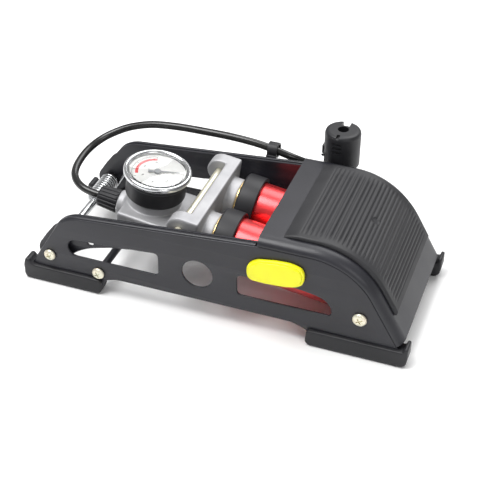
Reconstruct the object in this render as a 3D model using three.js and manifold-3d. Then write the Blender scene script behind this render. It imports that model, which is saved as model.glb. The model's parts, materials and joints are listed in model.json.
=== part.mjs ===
// Double-barrel foot air pump, folded flat. Millimetres, +Z up, origin on the floor under the
// middle of the frame. +X points from the hinge end to the pedal end, -Y is the near side.
import * as THREE from 'three';
import { mergeVertices } from 'three/addons/utils/BufferGeometryUtils.js';
import Module from 'manifold-3d';

const wasm = await Module();
wasm.setup();

// ---------- driving dimensions ----------
const GAP = 0.3;                        // clearance between pieces that touch
const SIDE = 57.5;                      // half width over the two side plates
const SHEET = 2;                        // steel sheet thickness of plates and arms
const LIP = 4;                          // width of the rolled lip on the plates' top edge
const CREST = 1.2;                      // height of the rolled lip over the plate's flat face
const ARM = 52.7;                       // outer face of the pedal arms
const HINGE = { x: -127, z: 25.8 };     // pedal hinge axle
const SPACER = { x: -87.3, z: 18.7 };   // spacer rod between the plates
const PIVOT = { x: 113.7, z: 33.1 };    // rear pivot of the piston rods
const HEAD_PIN = { x: -26, z: 66 };     // pin that carries the head casting
const HEAD_TILT = THREE.MathUtils.degToRad(8.21);
const BARREL_DROP = 12.6;               // barrel axis below the head pin, square to the barrels
const BARREL_Y = 24.1;                  // each barrel's distance from the middle
const BARREL_R = 20;
const BORE_R = 18.2;
const ROD_REACH = 142.97;               // head pin to rear pivot, measured along the barrels
const AIR_Y = -8;                       // air passage, gauge and hose nut
const NUT_DROP = 24.9;                  // hose nut axis below the head pin
const GAUGE_X = -34.2;                  // gauge centre along the head
const HOSE_R = 3;
const MIDDLE_Y = -9.7;                  // puts the origin under the middle of all but the hose and chuck

// ---------- materials ----------
const material = (color, roughness, metalness) =>
  new THREE.MeshStandardMaterial({ color, roughness, metalness });
const MATERIALS = {
  blackPaint: material('#1b1b1d', 0.45, 0.3),
  blackPlastic: material('#141416', 0.55, 0),
  rubber: material('#232326', 0.75, 0),
  steel: material('#b9bcc0', 0.3, 1),
  zinc: material('#cfc48a', 0.35, 0.9),
  castAluminium: material('#b4b6b8', 0.5, 0.8),
  redAnodised: material('#c8202a', 0.3, 0.9),
  yellow: material('#f2dd12', 0.35, 0),
  brass: material('#c9a646', 0.3, 1),
  white: material('#f4f4f2', 0.5, 0),
  clear: material('#dfe7ea', 0.05, 0),
};

// ---------- helpers ----------
const toSolid = (geometry) => {
  const plain = geometry.index ? geometry.toNonIndexed() : geometry.clone();
  for (const name of Object.keys(plain.attributes)) {
    if (name !== 'position') plain.deleteAttribute(name);
  }
  const merged = mergeVertices(plain, 1e-4);
  return new wasm.Manifold(new wasm.Mesh({
    numProp: 3,
    vertProperties: new Float32Array(merged.attributes.position.array),
    triVerts: new Uint32Array(merged.index.array),
  }));
};

const toGeometry = (solid) => {
  const { vertProperties, triVerts } = solid.getMesh();
  const geometry = new THREE.BufferGeometry();
  geometry.setAttribute('position', new THREE.BufferAttribute(vertProperties, 3));
  geometry.setIndex(new THREE.BufferAttribute(triVerts, 1));
  geometry.computeVertexNormals();
  return geometry;
};

const join = (...parts) => toGeometry(parts.map(toSolid).reduce((a, b) => a.add(b)));
const cut = (body, ...tools) =>
  toGeometry(tools.map(toSolid).reduce((a, b) => a.subtract(b), toSolid(body)));

// A closed (x, z) outline extruded along Y from y0 to y1.
const slab = (outline, y0, y1, holes = []) => {
  const shape = new THREE.Shape(outline.map(([x, z]) => new THREE.Vector2(x, z)));
  shape.holes = holes.map((hole) => new THREE.Path(hole.map(([x, z]) => new THREE.Vector2(x, z))));
  const geometry = new THREE.ExtrudeGeometry(shape, { depth: y1 - y0, bevelEnabled: false });
  return geometry.rotateX(Math.PI / 2).translate(0, y1, 0);
};

const arc = (x, z, radius, fromDeg, toDeg, steps) =>
  Array.from({ length: steps + 1 }, (_, i) => {
    const angle = THREE.MathUtils.degToRad(fromDeg + ((toDeg - fromDeg) * i) / steps);
    return [x + radius * Math.cos(angle), z + radius * Math.sin(angle)];
  });

const circle = (x, z, radius, steps = 24) => arc(x, z, radius, 0, 360 - 360 / steps, steps - 1);

const box = (x0, x1, y0, y1, z0, z1) =>
  new THREE.BoxGeometry(x1 - x0, y1 - y0, z1 - z0)
    .translate((x0 + x1) / 2, (y0 + y1) / 2, (z0 + z1) / 2);

const rodY = (x, z, radius, y0, y1, sides = 16) =>
  new THREE.CylinderGeometry(radius, radius, y1 - y0, sides).translate(x, (y0 + y1) / 2, z);

const rodZ = (x, y, radius, z0, z1, sides = 20) =>
  new THREE.CylinderGeometry(radius, radius, z1 - z0, sides)
    .rotateX(Math.PI / 2).translate(x, y, (z0 + z1) / 2);

const rodX = (y, z, radius, x0, x1, sides = 20) =>
  new THREE.CylinderGeometry(radius, radius, x1 - x0, sides)
    .rotateZ(Math.PI / 2).translate((x0 + x1) / 2, y, z);

// A lathe about X (or Z) from [radius, distance along the axis] pairs.
const latheX = (profile, y, z, sides = 28) =>
  new THREE.LatheGeometry(profile.map(([r, x]) => new THREE.Vector2(r, x)), sides)
    .rotateZ(-Math.PI / 2).translate(0, y, z);

const latheZ = (profile, x, y, sides = 28) =>
  new THREE.LatheGeometry(profile.map(([r, z]) => new THREE.Vector2(r, z)), sides)
    .rotateX(Math.PI / 2).translate(x, y, 0);

// A lathe written the wrong way round has its faces pointing in; this turns them out.
const outward = (geometry) => {
  const position = geometry.toNonIndexed().attributes.position;
  const [a, b, c] = [new THREE.Vector3(), new THREE.Vector3(), new THREE.Vector3()];
  let volume = 0;
  for (let i = 0; i < position.count; i += 3) {
    a.fromBufferAttribute(position, i);
    b.fromBufferAttribute(position, i + 1);
    c.fromBufferAttribute(position, i + 2);
    volume += a.dot(b.cross(c));
  }
  if (volume < 0) {
    const index = geometry.index.array;
    for (let i = 0; i < index.length; i += 3) [index[i], index[i + 1]] = [index[i + 1], index[i]];
  }
  return geometry;
};

const tube = (curve, radius, steps, sides) => {
  const section = new THREE.Shape(
    circle(0, 0, radius, sides).map(([x, y]) => new THREE.Vector2(x, y)));
  return new THREE.ExtrudeGeometry(section, { steps, extrudePath: curve, bevelEnabled: false });
};

const pump = new THREE.Group();
const assembly = new THREE.Group();
assembly.position.y = MIDDLE_Y;
pump.add(assembly);
const head = new THREE.Group();
head.position.set(HEAD_PIN.x, 0, HEAD_PIN.z);
head.rotation.y = HEAD_TILT;
assembly.add(head);

const add = (parent, name, geometry, surface) => {
  const mesh = new THREE.Mesh(geometry, surface);
  mesh.name = name;
  parent.add(mesh);
};

const BOTH = [['near', -1], ['far', 1]];
const span = (sign, a, b) => (sign > 0 ? [a, b] : [-b, -a]);

// ---------- side profile ----------
// The seam where the pedal cover meets a side plate: level, then round, then a 60 degree slope.
const SEAM_TOP = 76;
const SEAM_R = 51.6;
const SEAM_X = 76;
const SLOPE_END = { x: 142, z: 13.3 };
const seam = (offset, startX, lastDeg = 60) => [
  [startX, SEAM_TOP + offset],
  ...arc(SEAM_X, SEAM_TOP - SEAM_R, SEAM_R + offset, 90, 90 - lastDeg, 12),
];
const slopeEnd = (offset) => [
  SLOPE_END.x + offset * Math.cos(Math.PI / 6),
  SLOPE_END.z + offset * Math.sin(Math.PI / 6),
];
const topEdge = (x) => 66.3 + 0.084 * (x + 72);
const CORNER = { x: -98.46, z: 37.98, radius: 26 };
const corner = (offset) => arc(CORNER.x, CORNER.z, CORNER.radius + offset, 148.5, 94.8, 6);
const SLOPE_FOOT = [-124.9, 44.6];
const LIP_END = 33;

const sidePlateOutline = () => [
  [-143, 4], [-143, 15], SLOPE_FOOT, ...corner(0), [37, topEdge(37)],
  ...seam(0, 41), slopeEnd(0), [146, 4],
  [77, 4], [76, 11], [70, 13.5], [64, 15.5], [-74, 15.5], [-82, 12.5], [-84, 9], [-86, 4],
];

const taperedSlot = () => [
  ...arc(-104, 36.8, 7.4, 90, 270, 8), [-41, 29.4], [-38.4, 32], [-38.2, 46], [-41, 49.2],
];
const longSlot = () => [
  ...arc(27, 33.6, 4.4, 180, 270, 4), [88, 29.2], [92, 31], [93, 34.6], [89, 41.6],
  [82, 44.4], [68, 46.8], [27, 46.8], [22.8, 43],
];
const WINDOW = { x0: 44, x1: 63, z0: 54, z1: 62 };
const latchWindow = () => [
  [WINDOW.x0, WINDOW.z0], [WINDOW.x1, WINDOW.z0], [WINDOW.x1, WINDOW.z1], [WINDOW.x0, WINDOW.z1],
];

// ---------- base frame ----------
const makeSidePlate = (sign) => {
  const holes = [
    taperedSlot(), longSlot(), circle(-7.8, 39, 11.7, 28),
    ...[HINGE, SPACER, PIVOT].map(({ x, z }) => circle(x, z, 2.4, 12)),
  ];
  if (sign < 0) holes.push(latchWindow());
  const [y0, y1] = span(sign, SIDE - SHEET, SIDE);
  const lip = (rise, outer) => slab([
    SLOPE_FOOT, ...corner(rise), [LIP_END, topEdge(LIP_END) + rise],
    [LIP_END, topEdge(LIP_END) - SHEET], ...corner(-SHEET).reverse(), [-123.2, 43.6],
  ], ...span(sign, SIDE - LIP, outer));
  return join(
    slab(sidePlateOutline(), y0, y1, holes),
    lip(CREST * 0.6, SIDE - SHEET / 2), lip(CREST, SIDE - SHEET),
  );
};
for (const [side, sign] of BOTH) {
  add(assembly, `${side}_side_plate`, makeSidePlate(sign), MATERIALS.blackPaint);
}

const SHOE_OUT = 60.5;
const SHOE_IN = 48.5;
const makeShoe = (sign, outline, slotFrom, slotTo) => {
  const [y0, y1] = span(sign, SHOE_IN, SHOE_OUT);
  const [s0, s1] = span(sign, SIDE - SHEET - GAP, SIDE + GAP);
  return cut(slab(outline, y0, y1), box(slotFrom, slotTo, s0, s1, 4 - GAP, 40));
};
const hingeShoe = [
  [-148, 0], [-88, 0], [-85.5, 3], [-84.7, 11.5], [-86, 13], [-96, 13.4], [-140, 13.4], [-143.5, 15.2],
  [-145.5, 18], [-148.5, 17.6], [-150, 12], [-150, 2.5],
];
const pedalShoe = [
  [78, 0], [146, 0], [149, 2.5], [150, 8], [150, 17], [147.5, 17.6], [146.4, 13.6],
  [78, 13.6], [76, 12.5], [75.2, 2.5],
];
for (const [side, sign] of BOTH) {
  add(assembly, `${side}_hinge_end_shoe`, makeShoe(sign, hingeShoe, -143.4, -80),
    MATERIALS.blackPlastic);
  add(assembly, `${side}_pedal_end_shoe`, makeShoe(sign, pedalShoe, 70, 146.35),
    MATERIALS.blackPlastic);
}

const RODS = [
  ['hinge_axle', HINGE, 3.2, MATERIALS.steel],
  ['spacer_rod', SPACER, 3, MATERIALS.blackPaint],
  ['rear_pivot_rod', PIVOT, 4, MATERIALS.steel],
];
const ROD_END = SIDE - SHEET - GAP;
const TAP_R = 1.9;
const TAP_DEPTH = 12;
for (const [name, { x, z }, radius, surface] of RODS) {
  add(assembly, name, cut(
    rodY(x, z, radius, -ROD_END, ROD_END),
    rodY(x, z, TAP_R, -ROD_END - 1, -ROD_END + TAP_DEPTH, 8),
    rodY(x, z, TAP_R, ROD_END - TAP_DEPTH, ROD_END + 1, 8),
  ), surface);
}

// Round-headed screws that hold each rod between the plates; the recess is a plain cross.
const makeScrew = (sign, x, z, radius) => {
  const crown = new THREE.LatheGeometry([
    [0, 0], [radius, 0], [radius, 1.1], [radius * 0.82, 2.2], [radius * 0.45, 2.8], [0, 2.9],
  ].map(([r, y]) => new THREE.Vector2(r, y)), 16);
  const body = join(crown, new THREE.CylinderGeometry(1.6, 1.6, 12, 8).translate(0, -5.5, 0));
  const recess = [0, Math.PI / 2].map((turn) =>
    new THREE.BoxGeometry(radius * 0.9, 2, 1.3).rotateY(turn).translate(0, 2.6, 0));
  return cut(body, ...recess).rotateX(sign < 0 ? Math.PI : 0)
    .translate(x, sign * (SIDE + GAP), z);
};
for (const [side, sign] of BOTH) {
  add(assembly, `${side}_hinge_screw`, makeScrew(sign, HINGE.x, HINGE.z, 4.6), MATERIALS.zinc);
  add(assembly, `${side}_spacer_screw`, makeScrew(sign, SPACER.x, SPACER.z, 4.8), MATERIALS.zinc);
  add(assembly, `${side}_pivot_screw`, makeScrew(sign, PIVOT.x, PIVOT.z, 5.2), MATERIALS.zinc);
}

// Sleeves that keep the rod eyes in line with the barrels.
const EYE_HALF = 6;
const sleeve = (y0, y1) => cut(
  rodY(PIVOT.x, PIVOT.z, 6, y0, y1), rodY(PIVOT.x, PIVOT.z, 4 + GAP, y0 - 1, y1 + 1));
add(assembly, 'middle_pivot_sleeve',
  sleeve(-BARREL_Y + EYE_HALF + GAP, BARREL_Y - EYE_HALF - GAP), MATERIALS.blackPlastic);
for (const [side, sign] of BOTH) {
  const [y0, y1] = span(sign, BARREL_Y + EYE_HALF + GAP, ROD_END - GAP);
  add(assembly, `${side}_pivot_sleeve`, sleeve(y0, y1), MATERIALS.blackPlastic);
}

// ---------- return spring: a coil round the hinge axle, one leg on the spacer, one on the arm ----------
const SPRING = {
  start: THREE.MathUtils.degToRad(77), sweep: THREE.MathUtils.degToRad(3493),
  radius: 6.8, baseLeg: 44, pedalLeg: 22, y0: 20.5, y1: 48,
};
class TorsionSpring extends THREE.Curve {
  getPoint(t, target = new THREE.Vector3()) {
    const { start, sweep, radius, baseLeg, pedalLeg, y0, y1 } = SPRING;
    const coil = radius * sweep;
    const along = t * (coil + baseLeg + pedalLeg) - baseLeg;
    const angle = start + THREE.MathUtils.clamp(along / coil, 0, 1) * sweep;
    const over = along < 0 ? along : Math.max(0, along - coil);
    return target.set(
      HINGE.x + radius * Math.cos(angle) - over * Math.sin(angle),
      y0 + (y1 - y0) * THREE.MathUtils.clamp(along / coil, 0, 1),
      HINGE.z + radius * Math.sin(angle) + over * Math.cos(angle),
    );
  }
}
add(assembly, 'return_spring', tube(new TorsionSpring(), 1, 128, 5), MATERIALS.steel);

// ---------- pedal ----------
const ARM_RISE = 0.8;
const armOutline = () => [
  ...arc(HINGE.x, HINGE.z, 11.8, 300, 150, 10), [-131, 41], [-124.5, 49.6],
  ...corner(ARM_RISE), [36, topEdge(36) + ARM_RISE], [40.5, 80.1],
  ...seam(4.1, 41, 48), [112, 52], [60, 52], [10, 51.8], [-20, 50], [-45, 44.9], [-61, 43.6],
  [-77.4, 41], [-94, 36.6], [-102.7, 32.6], [-110, 27.4], [-117, 19.5],
];
// The head pin rides in a slot of each arm, since the closed linkage is opened here. The pin's way
// is a thin loop, so the slot is wider past its start, where the pin stands when folded.
const PIN_SLOT = { leanDeg: 207.5, startR: 3.5, bulgeAt: 4.4, bulge: 4.7, endAt: 9.4, endR: 4.5 };
const pinSlot = () => {
  const { leanDeg, startR, bulgeAt, bulge, endAt, endR } = PIN_SLOT;
  const lean = THREE.MathUtils.degToRad(leanDeg);
  const at = (along, aside) => [
    HEAD_PIN.x + along * Math.cos(lean) - aside * Math.sin(lean),
    HEAD_PIN.z + along * Math.sin(lean) + aside * Math.cos(lean),
  ];
  return [
    ...arc(...at(0, 0), startR, leanDeg + 90, leanDeg + 270, 8), at(bulgeAt, -bulge),
    ...arc(...at(endAt, 0), endR, leanDeg - 90, leanDeg + 90, 10), at(bulgeAt, bulge),
  ];
};
// The near arm's catch: the latch's tongue sits in the pocket, and leaves by the way down beside it.
const TONGUE = { x0: 44, x1: 50, z0: 56.6, z1: 59.2 };
const LATCH_TRAVEL = 7.5;
const makeArm = (sign) => {
  const [y0, y1] = span(sign, ARM - SHEET, ARM);
  const arm = cut(
    slab(armOutline(), y0, y1, [circle(-94.9, 41, 2.7, 16)]),
    rodY(HINGE.x, HINGE.z, 5.6, y0 - 1, y1 + 1),
    slab(pinSlot(), y0 - 1, y1 + 1),
  );
  if (sign > 0) return arm;
  const reach = TONGUE.x1 + LATCH_TRAVEL + 2.5;
  return cut(arm,
    box(TONGUE.x0 - 1, reach, y0 - 1, y1 + 1, TONGUE.z0 - 0.8, TONGUE.z1 + 0.8),
    box(TONGUE.x0 + LATCH_TRAVEL - 1.5, reach, y0 - 1, y1 + 1, 50, TONGUE.z1),
  );
};
for (const [side, sign] of BOTH) {
  add(assembly, `${side}_pedal_arm`, makeArm(sign), MATERIALS.blackPaint);
  const [y0, y1] = span(sign, ARM - SHEET - 1.4, ARM + 0.5);
  add(assembly, `${side}_hinge_bush`, cut(
    rodY(HINGE.x, HINGE.z, 5.3, y0, y1), rodY(HINGE.x, HINGE.z, 3.5, y0 - 1, y1 + 1),
  ), MATERIALS.blackPlastic);
}

// A (y, offset) section carried along the seam line, square to it.
const alongSeam = (section, stations) => {
  const vertices = [];
  const faces = [];
  const count = section.length;
  for (const { x, z, nx, nz } of stations) {
    for (const [y, offset] of section) vertices.push(x + nx * offset, y, z + nz * offset);
  }
  const corners = section.map(([y, offset]) => new THREE.Vector2(y, offset));
  const caps = THREE.ShapeUtils.triangulateShape(corners, []);
  const last = (stations.length - 1) * count;
  for (const [a, b, c] of caps) {
    faces.push(a, b, c, last + a, last + c, last + b);
  }
  for (let s = 0; s < stations.length - 1; s += 1) {
    for (let i = 0; i < count; i += 1) {
      const j = (i + 1) % count;
      const [a, b] = [s * count + i, s * count + j];
      faces.push(a, a + count, b, b, a + count, b + count);
    }
  }
  const geometry = new THREE.BufferGeometry();
  geometry.setAttribute('position', new THREE.Float32BufferAttribute(vertices, 3));
  geometry.setIndex(faces);
  return outward(geometry);
};
const seamStations = (startX, endDistance) => {
  const stations = [startX, (startX + SEAM_X) / 2].map((x) => ({ x, z: SEAM_TOP, nx: 0, nz: 1 }));
  for (let i = 0; i <= 12; i += 1) {
    const angle = THREE.MathUtils.degToRad(90 - i * 5);
    const [nx, nz] = [Math.cos(angle), Math.sin(angle)];
    stations.push({ x: SEAM_X + SEAM_R * nx, z: SEAM_TOP - SEAM_R + SEAM_R * nz, nx, nz });
  }
  const { x, z, nx, nz } = stations.at(-1);
  stations.push({ x: x + endDistance * nz, z: z - endDistance * nx, nx, nz });
  return stations;
};
const COVER_TOP = 6;
const COVER_SHEET = 1.5;
const coverSection = () => {
  const inside = SIDE - COVER_SHEET;
  const under = COVER_TOP - COVER_SHEET;
  const half = [
    [SIDE, GAP + 0.1], [SIDE, 2.2], [SIDE - 1.4, 4.6], [SIDE - 4.2, COVER_TOP],
  ];
  const hollow = [[SIDE - 4.8, under], [inside - 0.9, 3.4], [inside, 2], [inside, GAP + 0.1]];
  const mirror = (points) => points.map(([y, o]) => [-y, o]).reverse();
  return [...half, ...mirror(half), ...mirror(hollow), ...hollow];
};
add(assembly, 'pedal_cover', alongSeam(coverSection(), seamStations(37.5, 40)),
  MATERIALS.blackPaint);

const PAD_HALF = 48.5;
const padSection = [
  [PAD_HALF, COVER_TOP + GAP], [PAD_HALF, COVER_TOP + 2.2], [PAD_HALF - 1, COVER_TOP + 3],
  [1 - PAD_HALF, COVER_TOP + 3], [-PAD_HALF, COVER_TOP + 2.2], [-PAD_HALF, COVER_TOP + GAP],
];
add(assembly, 'foot_pad', alongSeam(padSection, seamStations(54, 20)), MATERIALS.rubber);

// ---------- latch: a knob on the near plate with a hook behind it ----------
const latchKnob = [
  [31, 55], [31.6, 50.5], [34.5, 48], [45, 47.6], [60, 48.6], [68, 50.6], [72.4, 54],
  [73.4, 59], [73, 64], [70.4, 67.4], [63, 69.4], [52, 68.8], [38, 66.4], [33, 62.6], [31.2, 59],
];
const KNOB_BASE = SIDE + GAP;
add(assembly, 'latch_knob', join(
  slab(latchKnob, -KNOB_BASE - 3.2, -KNOB_BASE),
  slab(latchKnob.map(([x, z]) => [52.2 + (x - 52.2) * 0.93, 58.5 + (z - 58.5) * 0.86]),
    -KNOB_BASE - 4.4, -KNOB_BASE - 3),
  box(46, 54, -KNOB_BASE - 1, -SIDE + SHEET + GAP, 55, 61),
), MATERIALS.yellow);
add(assembly, 'latch_hook', join(
  box(44, 56, -SIDE + SHEET + GAP * 2, -SIDE + SHEET + 1.8, 48.6, 63.5),
  box(TONGUE.x0, TONGUE.x1, -SIDE + SHEET + 1, -ARM + SHEET + 1, TONGUE.z0, TONGUE.z1),
), MATERIALS.steel);

// ---------- head: casting, caps, barrels, gauge and hose nut (head group) ----------
const EAR = [35, 46];
const EAR_R = 10;
const CASTING = { x0: -53, x1: 6, y0: -36, y1: 14, z0: -33, z1: -12 };
const makeHeadCasting = () => {
  const ears = BOTH.flatMap(([, sign]) => {
    const [y0, y1] = span(sign, ...EAR);
    return [rodY(0, 0, EAR_R, y0, y1, 28), box(0, 10, y0, y1, -EAR_R, EAR_R)];
  });
  const bosses = BOTH.map(([, sign]) => rodX(sign * BARREL_Y, -BARREL_DROP, 17, 13, 22.6, 32));
  const airWays = BOTH.map(([, sign]) => rodX(sign * BARREL_Y, -BARREL_DROP, 3, -2, 24, 12));
  const body = join(
    box(4.5, 14, -46, 46, -22, EAR_R), ...ears, ...bosses,
    box(CASTING.x0, CASTING.x1, CASTING.y0, CASTING.y1, CASTING.z0, CASTING.z1),
    rodX(AIR_Y, -NUT_DROP, 10, -61.6, CASTING.x0 + 1, 28),
    rodZ(GAUGE_X, AIR_Y, 20, -20, -5, 36),
  );
  return cut(body,
    ...BOTH.map(([, sign]) => rodY(0, 0, 3.3, ...span(sign, EAR[0] - 1, EAR[1] + 1))),
    rodX(AIR_Y, -NUT_DROP, 4, -70, -8, 16),
    box(-12, -4, -22, 22, -24, -19),
    rodZ(GAUGE_X, AIR_Y, 3.2, -26, 2, 16),
    ...airWays,
    box(-5, 0.2, -27, -21, -24, -10), box(-5, 0.2, 21, 27, -24, -10),
  );
};
add(head, 'head_casting', makeHeadCasting(), MATERIALS.castAluminium);
add(head, 'head_pin', rodY(0, 0, 3, -53.2, 53.2), MATERIALS.zinc);

const CAP_R = 23.5;
for (const [side, sign] of BOTH) {
  const y = sign * BARREL_Y;
  const ring = (r0, r1, x0, x1) => latheX([[r0, x0], [r1, x0], [r1, x1], [r0, x1], [r0, x0]],
    y, -BARREL_DROP);
  add(head, `${side}_seal_ring`, outward(ring(12, 18.6, 22.9, 24.1)), MATERIALS.brass);
  add(head, `${side}_cylinder_cap`, outward(latheX([
    [4, 24.4], [CAP_R - 1.2, 24.4], [CAP_R, 25.6], [CAP_R, 38.6], [CAP_R - 0.4, 39],
    [BARREL_R + GAP, 39], [BARREL_R + GAP, 29.2], [4, 29.2], [4, 24.4],
  ], y, -BARREL_DROP)), MATERIALS.blackPlastic);
  add(head, `${side}_barrel`, outward(ring(BORE_R, BARREL_R, 29.5, 121)), MATERIALS.redAnodised);
  add(head, `${side}_barrel_end`, outward(latheX([
    [6, 121.3], [BARREL_R + 2, 121.3], [BARREL_R + 2, 125], [6, 125], [6, 121.3],
  ], y, -BARREL_DROP)), MATERIALS.blackPlastic);
}

const GAUGE_BASE = -4.7;
add(head, 'gauge_body', outward(latheZ([
  [0, GAUGE_BASE], [21.6, GAUGE_BASE], [22.6, GAUGE_BASE + 1.2], [23.2, 12.4], [0, 12.4],
], GAUGE_X, AIR_Y)), MATERIALS.blackPlastic);
add(head, 'gauge_stem', rodZ(GAUGE_X, AIR_Y, 2.9, -19, GAUGE_BASE - GAP, 16), MATERIALS.brass);
add(head, 'gauge_bezel', outward(latheZ([
  [21.6, 12.7], [24.6, 12.7], [25.4, 13.6], [25.4, 15.8], [24.4, 17], [22.6, 17.3],
  [21.6, 16.9], [21.6, 12.7],
], GAUGE_X, AIR_Y, 32)), MATERIALS.steel);
add(head, 'gauge_dial', rodZ(GAUGE_X, AIR_Y, 21.2, 12.7, 13.2, 28), MATERIALS.white);
add(head, 'gauge_lens', rodZ(GAUGE_X, AIR_Y, 21.2, 15.2, 16.6, 28), MATERIALS.clear);
const NEEDLE_REST = THREE.MathUtils.degToRad(24);
const makeNeedle = () => join(
  rodZ(0, 0, 1.6, 13.5, 14.9, 16),
  box(-7, 16.5, -0.45, 0.45, 14, 14.5).rotateZ(NEEDLE_REST),
).translate(GAUGE_X, AIR_Y, 0);
add(head, 'gauge_needle', makeNeedle(), MATERIALS.blackPaint);

add(head, 'hose_nut', outward(latheX([
  [HOSE_R + 1.9, -78.4], [7.4, -78.4], [8.2, -77.2], [9.2, -63.4], [8.8, -62],
  [HOSE_R + 1.9, -62], [HOSE_R + 1.9, -78.4],
], AIR_Y, -NUT_DROP, 24)), MATERIALS.blackPlastic);
add(head, 'hose_tail', outward(latheX([
  [1.6, -77.6], [HOSE_R + 0.9, -77.6], [HOSE_R + 1.5, -75], [HOSE_R + 1.5, -62.2], [1.6, -62.2],
  [1.6, -77.6],
], AIR_Y, -NUT_DROP, 18)), MATERIALS.blackPlastic);

// ---------- pistons and rods (head group's axes, their own body) ----------
for (const [side, sign] of BOTH) {
  const y = sign * BARREL_Y;
  const eyeX = ROD_REACH;
  add(head, `${side}_piston`, outward(latheX([
    [0, 31.5], [BORE_R - GAP, 31.5], [BORE_R - GAP, 35], [BORE_R - 2.2, 35], [BORE_R - 2.2, 38.4],
    [BORE_R - GAP, 38.4], [BORE_R - GAP, 42], [0, 42],
  ], y, -BARREL_DROP)), MATERIALS.blackPlastic);
  add(head, `${side}_piston_seal`, outward(latheX([
    [BORE_R - 1.9, 35.3], [BORE_R - 0.2, 35.3], [BORE_R - 0.2, 38.1], [BORE_R - 1.9, 38.1],
    [BORE_R - 1.9, 35.3],
  ], y, -BARREL_DROP)), MATERIALS.rubber);
  add(head, `${side}_piston_rod`, cut(
    join(rodX(y, -BARREL_DROP, 4.5, 42.3, eyeX - 4, 20),
      rodY(eyeX, -BARREL_DROP, 7.5, y - EYE_HALF, y + EYE_HALF, 20)),
    rodY(eyeX, -BARREL_DROP, 4 + GAP, y - EYE_HALF - 1, y + EYE_HALF + 1)),
  MATERIALS.steel);
}

// ---------- hose, its clip and the chuck that it ends in ----------
const CHUCK = { x: 60.6, y: 72 };
const HOSE_ROUTE = [
  [-106.8, -8, 52.5], [-113.4, -8, 53.45], [-121.8, -6.5, 54.6], [-129.1, -2.3, 55.8],
  [-134.6, 4.2, 57], [-137.6, 12.2, 58.2], [-138.8, 21, 59.2], [-138.6, 31, 60.6],
  [-136.2, 41, 62.6], [-131, 50, 65.4], [-123, 56.6, 68.8], [-112.9, 61, 72.6], [-96, 64, 76.9],
  [-75, 64.8, 79.2], [-50, 65, 79.8], [-24, 65, 79.6], [-4, 65.2, 77.8], [10, 65.4, 75],
  [22, 66.8, 71], [31.4, 71.6, 65.4], [38.4, 80, 57.6], [42.8, 90.4, 47.6], [46.4, 101, 36.4],
  [51.4, 111.4, 25.4], [59, 120, 15.8], [70, 126.4, 8.4], [84, 128.4, 4], [98, 125, 3.3],
  [108.6, 116, 3.3], [113.8, 103, 3.3], [112.8, 89, 3.3], [105, 77.6, 3.3], [92, 71.4, 3.5],
  [78.6, 71, 6.6], [68, 71.8, 14.2], [62.4, 72, 24], [60.6, 72, 34], [60.6, 72, 40],
];
const hoseCurve = new THREE.CatmullRomCurve3(
  HOSE_ROUTE.map((point) => new THREE.Vector3(...point)), false, 'centripetal');
add(assembly, 'hose', tube(hoseCurve, HOSE_R, 56, 8), MATERIALS.rubber);

const CLIP = { x: 8, y: 65.4, z: 75.5, half: 4, outerR: 6 };
add(assembly, 'hose_clip', cut(
  join(rodX(CLIP.y, CLIP.z, CLIP.outerR, CLIP.x - CLIP.half, CLIP.x + CLIP.half, 20),
    box(CLIP.x - CLIP.half, CLIP.x + CLIP.half, SIDE + GAP, SIDE + 3.6, 60, CLIP.z)),
  rodX(CLIP.y, CLIP.z, HOSE_R + 1.6, CLIP.x - CLIP.half - 2, CLIP.x + CLIP.half + 2, 16),
), MATERIALS.blackPlastic);

add(assembly, 'chuck_grip', outward(latheZ([
  [HOSE_R + 0.5, 33], [5, 33], [6.4, 36], [8.2, 46], [8.8, 52], [8.8, 70], [3.5, 70],
  [3.5, 40.6], [HOSE_R + 0.5, 40.4], [HOSE_R + 0.5, 33],
], CHUCK.x, CHUCK.y, 20)), MATERIALS.blackPlastic);
const CHUCK_R = 13.8;
const CHUCK_TOP = 101;
const makeChuckHead = () => cut(
  outward(latheZ([
    [0, 70.3], [9.4, 70.3], [CHUCK_R - 0.4, 71.2], [CHUCK_R, 72.2], [CHUCK_R, CHUCK_TOP - 2.6],
    [CHUCK_R - 0.8, CHUCK_TOP - 0.7], [CHUCK_R - 2.8, CHUCK_TOP], [0, CHUCK_TOP],
  ], CHUCK.x, CHUCK.y, 28)),
  rodZ(CHUCK.x, CHUCK.y, 4.2, 89, CHUCK_TOP + 1, 20),
  box(CHUCK.x - 3.2, CHUCK.x + 3.2, CHUCK.y + 5.6, CHUCK.y + 15, 69, CHUCK_TOP + 1),
  ...[87, 90.5, 94].map((z) =>
    box(CHUCK.x - 4.5, CHUCK.x + 2.5, CHUCK.y - 15, CHUCK.y - 12.2, z, z + 1.8)),
);
add(assembly, 'chuck_head', makeChuckHead(), MATERIALS.blackPlastic);
const LEVER_AXIS = { y: CHUCK.y + 8.6, z: 95 };
const leverOutline = [
  [-1.6, 2], [2.2, 2.6], [5.4, 0], [6.2, -24], [5, -32], [3.6, -32], [4, -20], [2, -4], [-2, -2],
].map(([y, z]) => [LEVER_AXIS.y + y, LEVER_AXIS.z + z]);
add(assembly, 'chuck_lever',
  slab(leverOutline, -CHUCK.x - 2.8, -CHUCK.x + 2.8).rotateZ(Math.PI / 2),
  MATERIALS.blackPlastic);

const HOLDER = { x0: 42, x1: 80, z0: 52, z1: 70 };
add(assembly, 'chuck_holder', cut(
  join(box(HOLDER.x0, HOLDER.x1, SIDE + GAP, SIDE + 2.3, HOLDER.z0, HOLDER.z1),
    rodZ(CHUCK.x, CHUCK.y, 11.4, 56, 66, 24),
    box(CHUCK.x - 8, CHUCK.x + 8, SIDE + GAP, CHUCK.y - 6, 56, 66)),
  rodZ(CHUCK.x, CHUCK.y, 9.1, 50, 70, 20),
  box(CHUCK.x - 6, CHUCK.x + 6, CHUCK.y, CHUCK.y + 14, 50, 70),
), MATERIALS.blackPlastic);

export default pump;
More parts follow.
